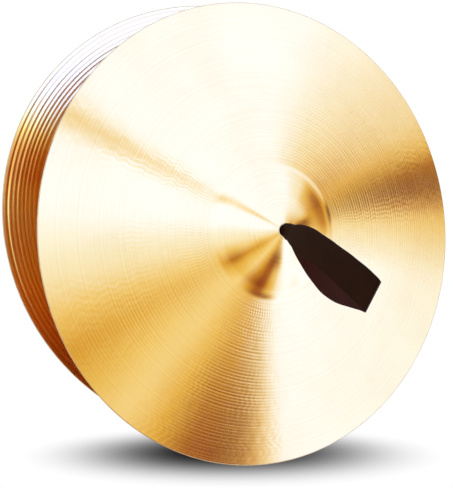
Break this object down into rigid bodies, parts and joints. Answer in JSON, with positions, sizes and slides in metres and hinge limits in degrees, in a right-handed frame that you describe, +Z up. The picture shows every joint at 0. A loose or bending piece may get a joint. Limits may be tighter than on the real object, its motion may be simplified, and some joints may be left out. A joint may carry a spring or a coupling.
{
  "type": "hand cymbals",
  "caption": "Facing pair of large lathed bronze hand cymbals with domed bells, each with a leather loop strap knotted through its centre hole.",
  "frame": {"origin": "centre of the front cymbal's hole, on the outer face of its bell, where the strap leaves it", "axes": "+Z up with the pair upright on its rims; -Y out of the front cymbal's bell along its axis; +Y towards the rear cymbal; +X to the right as seen from in front"},
  "size_m": [0.52, 0.3515, 0.5299],
  "materials": {
    "cymbal_bronze": "lathed and hammered bell bronze, brilliant",
    "strap_leather": "smooth black leather with a dark red-brown flesh side",
    "knot_leather": "narrow cut thongs of the same black leather"
  },
  "bodies": {
    "front_cymbal": {"front_cymbal": "cymbal_bronze"},
    "front_strap_tie": {"front_strap_thongs": "strap_leather", "front_strap_knot": "knot_leather"},
    "front_strap_grip": {"front_strap_grip": "strap_leather"},
    "rear_cymbal": {"rear_cymbal": "cymbal_bronze"},
    "rear_strap_tie": {"rear_strap_thongs": "strap_leather", "rear_strap_knot": "knot_leather"},
    "rear_strap_grip": {"rear_strap_grip": "strap_leather"}
  },
  "joints": [
    {"name": "crash_open", "type": "hinge", "parent": "front_cymbal", "child": "rear_cymbal", "pos_m": [0.19162, 0.044, -0.17868], "axis": [-0.682, 0, -0.7314], "range_deg": [-11.2, 48.4]},
    {"name": "front_strap_swivel", "type": "hinge", "parent": "front_cymbal", "child": "front_strap_tie", "pos_m": [0, 0, 0], "axis": [0, -1, 0], "continuous": true},
    {"name": "front_strap_flop", "type": "hinge", "parent": "front_strap_tie", "child": "front_strap_grip", "pos_m": [0, -0.005, 0], "axis": [0.866, 0, 0.5], "range_deg": [-80, 14]},
    {"name": "rear_strap_swivel", "type": "hinge", "parent": "rear_cymbal", "child": "rear_strap_tie", "pos_m": [-0.00818, 0.14811, 0.01823], "axis": [0.1471, 0.9796, -0.1371], "continuous": true},
    {"name": "rear_strap_flop", "type": "hinge", "parent": "rear_strap_tie", "child": "rear_strap_grip", "pos_m": [-0.00744, 0.15301, 0.01754], "axis": [-0.978, 0.1647, 0.1278], "range_deg": [-84, 4]}
  ]
}
